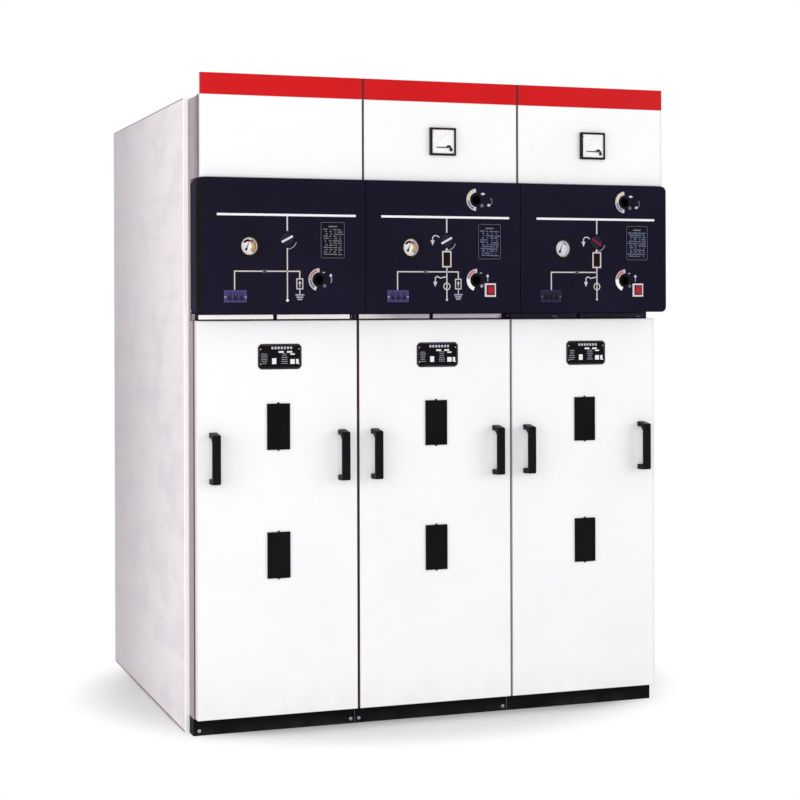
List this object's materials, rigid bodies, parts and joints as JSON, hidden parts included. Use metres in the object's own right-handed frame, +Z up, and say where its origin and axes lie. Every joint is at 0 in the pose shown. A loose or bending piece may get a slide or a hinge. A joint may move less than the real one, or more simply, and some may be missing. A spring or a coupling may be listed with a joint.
{
  "type": "ring main unit",
  "caption": "Row of medium-voltage switchgear cubicles with lift-off cable doors, dark mimic fascias, instrument compartments and a red header strip.",
  "frame": {"origin": "centre of the row's footprint, on the floor", "axes": "+Z up, front faces -Y, the row runs along X"},
  "size_m": [1.528, 1.208, 1.93],
  "materials": {
    "white_paint": "satin enamel",
    "red_paint": "satin enamel",
    "black_paint": "satin enamel",
    "zinc_sheet": "zinc-coated sheet, mottled",
    "silver_strip": "satin",
    "dark_moulding": "smooth, slightly glossy",
    "black_plastic": "smooth",
    "window_black": "dark window pane",
    "white_plastic": "smooth",
    "red_plastic": "smooth",
    "blue_plastic": "smooth",
    "epoxy": "smooth cast resin",
    "disc_paint": "smooth"
  },
  "bodies": {
    "root": {"plinth": "black_paint", "cable_box_1": "zinc_sheet", "cable_box_2": "zinc_sheet", "cable_box_3": "zinc_sheet", "switch_housing_1": "zinc_sheet", "switch_housing_2": "zinc_sheet", "switch_housing_3": "zinc_sheet", "clamp_rails": "zinc_sheet", "cable_bushings": "epoxy", "rear_covers": "zinc_sheet", "roof_covers": "zinc_sheet", "side_cover_left": "zinc_sheet", "side_cover_right": "zinc_sheet", "reveal_strips": "silver_strip", "mechanism_cover_1": "dark_moulding", "mechanism_cover_2": "dark_moulding", "mechanism_cover_3": "dark_moulding", "pressure_gauges": "black_plastic", "lever_sockets": "black_plastic", "button_frames": "white_plastic", "voltage_indicators": "blue_plastic", "instruction_sheets": "dark_moulding", "instrument_boxes": "zinc_sheet", "instrument_door_1": "white_paint", "instrument_door_2": "white_paint", "instrument_door_3": "white_paint", "header_plates": "red_paint", "ammeters": "black_plastic"},
    "door_1": {"cable_door_1": "white_paint", "door_windows_1": "window_black", "rating_plate_1": "black_plastic", "door_handles_1": "black_plastic"},
    "disc_1": {"position_disc_1": "disc_paint"},
    "door_2": {"cable_door_2": "white_paint", "door_windows_2": "window_black", "rating_plate_2": "black_plastic", "door_handles_2": "black_plastic"},
    "disc_2": {"position_disc_2": "disc_paint"},
    "door_3": {"cable_door_3": "white_paint", "door_windows_3": "window_black", "rating_plate_3": "black_plastic", "door_handles_3": "black_plastic"},
    "disc_3": {"position_disc_3": "disc_paint"},
    "button_2": {"push_button_2": "red_plastic"},
    "button_3": {"push_button_3": "red_plastic"}
  },
  "joints": [
    {"name": "door_1_lift_off", "type": "slide", "parent": "root", "child": "door_1", "axis": [0, -1, 0], "range_m": [0, 0.4]},
    {"name": "door_2_lift_off", "type": "slide", "parent": "root", "child": "door_2", "axis": [0, -1, 0], "range_m": [0, 0.4]},
    {"name": "door_3_lift_off", "type": "slide", "parent": "root", "child": "door_3", "axis": [0, -1, 0], "range_m": [0, 0.4]},
    {"name": "disc_1_turn", "type": "hinge", "parent": "root", "child": "disc_1", "pos_m": [-0.493, -0.598, 1.451], "axis": [0, -1, 0], "range_deg": [-60, 60]},
    {"name": "disc_2_turn", "type": "hinge", "parent": "root", "child": "disc_2", "pos_m": [0.007, -0.598, 1.451], "axis": [0, -1, 0], "range_deg": [-60, 60]},
    {"name": "disc_3_turn", "type": "hinge", "parent": "root", "child": "disc_3", "pos_m": [0.507, -0.598, 1.451], "axis": [0, -1, 0], "range_deg": [-60, 60]},
    {"name": "button_2_press", "type": "slide", "parent": "root", "child": "button_2", "axis": [0, 1, 0], "range_m": [0, 0.005], "stiffness_N_per_m": 500, "springref_m": -0.002},
    {"name": "button_3_press", "type": "slide", "parent": "root", "child": "button_3", "axis": [0, 1, 0], "range_m": [0, 0.005], "stiffness_N_per_m": 500, "springref_m": -0.002}
  ]
}
